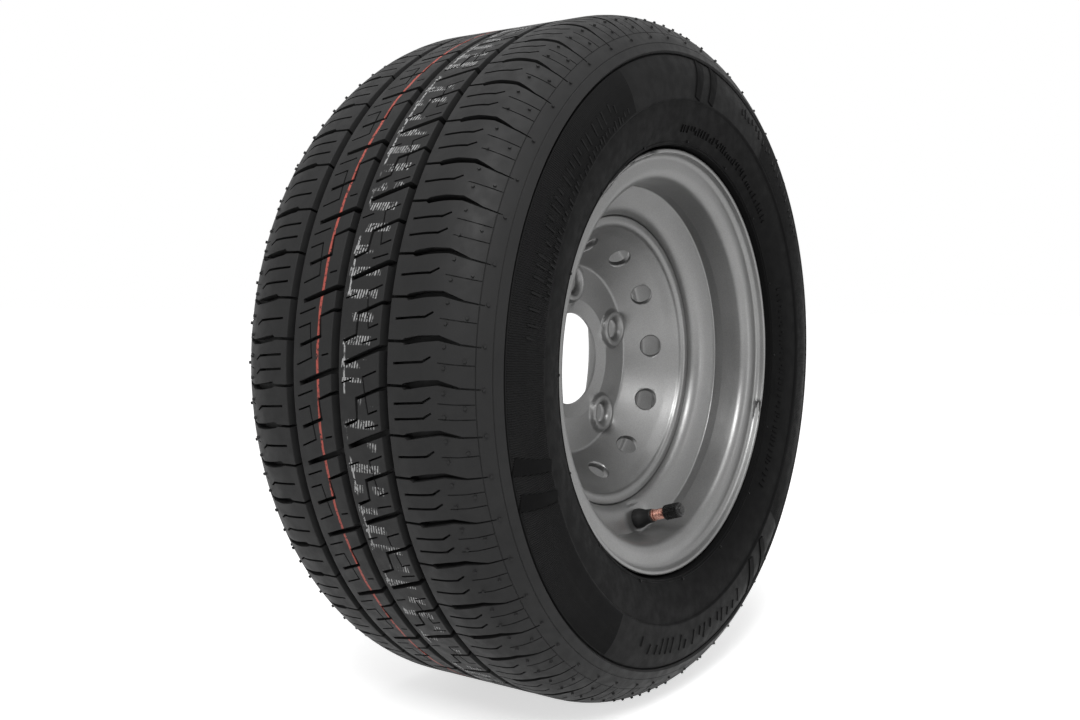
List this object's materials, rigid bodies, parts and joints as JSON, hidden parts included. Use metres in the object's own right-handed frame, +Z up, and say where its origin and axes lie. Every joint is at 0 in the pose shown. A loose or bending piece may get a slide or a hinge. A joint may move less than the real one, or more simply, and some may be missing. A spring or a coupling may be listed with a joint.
{
  "type": "wheel and tyre assembly",
  "caption": "Small trailer wheel: tubeless radial tyre on a silver painted steel wheel with vented disc, bolt seats and a snap-in valve with screw cap",
  "frame": {"origin": "wheel centre: the middle plane of the tyre on the axle line", "axes": "the axle lies along Y, the open face of the wheel looks along -Y and the hub side along +Y, Z is up as the wheel stands"},
  "size_m": [0.468, 0.2, 0.468],
  "materials": {
    "tyre_rubber": "matte black moulded rubber",
    "silver_paint": "silver metallic paint, semi-gloss",
    "valve_rubber": "matte black rubber",
    "brass": "bare reddish brass, machined",
    "spring_steel": "bright spring wire",
    "cap_plastic": "black moulded plastic with fine ribs"
  },
  "bodies": {
    "wheel": {"tyre": "tyre_rubber", "rim": "silver_paint", "wheel_disc": "silver_paint", "disc_welds": "silver_paint", "valve_body": "valve_rubber", "valve_stem": "brass", "valve_core": "brass", "core_spring": "spring_steel"},
    "core_pin": {"core_pin": "brass", "pin_seal": "valve_rubber"},
    "cap_gasket": {"cap_gasket": "valve_rubber"},
    "valve_cap": {"valve_cap": "cap_plastic"}
  },
  "joints": [
    {"name": "pin_press", "type": "slide", "parent": "wheel", "child": "core_pin", "axis": [0.0285, 0.9563, -0.291], "range_m": [0, 0.0016], "stiffness_N_per_m": 3000, "deforming": ["core_spring"]},
    {"name": "cap_lift", "type": "slide", "parent": "wheel", "child": "cap_gasket", "axis": [-0.0285, -0.9563, 0.291], "range_m": [0, 0.00794]},
    {"name": "cap_turn", "type": "hinge", "parent": "cap_gasket", "child": "valve_cap", "pos_m": [0.01132, -0.045, -0.1154], "axis": [-0.0285, -0.9563, 0.291], "range_deg": [0, 3600]}
  ],
  "couplings": [
    {"joint": "cap_turn", "follows": "cap_lift", "rad_per_m": 7913.3}
  ]
}
